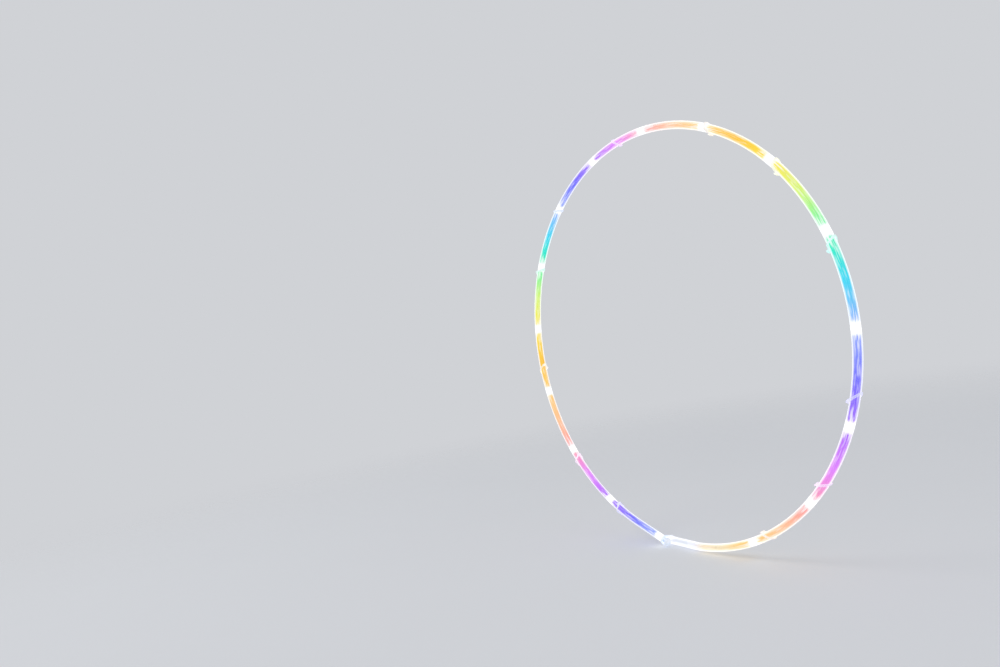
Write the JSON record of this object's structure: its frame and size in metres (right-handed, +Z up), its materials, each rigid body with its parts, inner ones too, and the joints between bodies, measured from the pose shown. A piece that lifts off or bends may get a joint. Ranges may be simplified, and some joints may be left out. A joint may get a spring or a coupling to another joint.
{
  "type": "spoke wheel light",
  "caption": "Ring of clear tube with coloured LEDs inside, tied to a bicycle's spokes just inside the rim, with its power cells and a push button in the tube's lapped end.",
  "frame": {"origin": "centre of the wheel, on its axle line, in the middle plane of the ring", "axes": "+Y along the axle, to the far side of the wheel; +Z up; +X to the right as seen from the near side"},
  "size_m": [0.5236, 0.0268, 0.5259],
  "materials": {
    "clear_tube": "clear flexible tube, lit from inside",
    "red_wire": "red insulation",
    "dark_wire": "black insulation",
    "white_board": "white solder mask",
    "led_red": "lit red lens",
    "led_orange": "lit orange lens",
    "led_yellow": "lit yellow lens",
    "led_green": "lit green lens",
    "led_blue": "lit blue lens",
    "led_violet": "lit violet lens",
    "cell_steel": "bright nickel-plated can",
    "contact_steel": "plated spring steel",
    "green_board": "green solder mask",
    "black_plastic": "moulded black",
    "grey_plastic": "moulded grey",
    "ivory_plastic": "moulded ivory",
    "milky_plastic": "milky moulded plastic",
    "seal_rubber": "black rubber",
    "button_plastic": "white moulded plastic",
    "clear_tie": "natural clear nylon"
  },
  "bodies": {
    "ring": {"light_tube": "clear_tube", "feed_wire": "red_wire", "return_wire": "dark_wire", "led_boards": "white_board", "led_red": "led_red", "led_orange": "led_orange", "led_yellow": "led_yellow", "led_green": "led_green", "led_blue": "led_blue", "led_violet": "led_violet", "power_cells": "cell_steel", "cell_contacts": "contact_steel", "contact_spring": "contact_steel", "control_board": "green_board", "control_chip": "black_plastic", "switch_body": "grey_plastic", "end_cap": "milky_plastic", "cap_seal": "seal_rubber", "spoke_ties": "clear_tie", "lap_tie": "clear_tie"},
    "plug": {"switch_plug": "milky_plastic", "plug_seal": "seal_rubber"},
    "button": {"power_button": "button_plastic", "button_clip": "contact_steel"},
    "stem": {"switch_stem": "ivory_plastic"}
  },
  "joints": [
    {"name": "plug_pull", "type": "slide", "parent": "ring", "child": "plug", "axis": [-0.9844, 0.1757, -0.0132], "range_m": [0, 0.012]},
    {"name": "button_press", "type": "slide", "parent": "plug", "child": "button", "axis": [0.9844, -0.1757, 0.0132], "range_m": [0, 0.0005], "stiffness_N_per_m": 3000},
    {"name": "stem_press", "type": "slide", "parent": "ring", "child": "stem", "axis": [0.9844, -0.1757, 0.0132], "range_m": [0, 0.0005]}
  ],
  "couplings": [
    {"joint": "stem_press", "follows": "button_press", "ratio": 1}
  ]
}
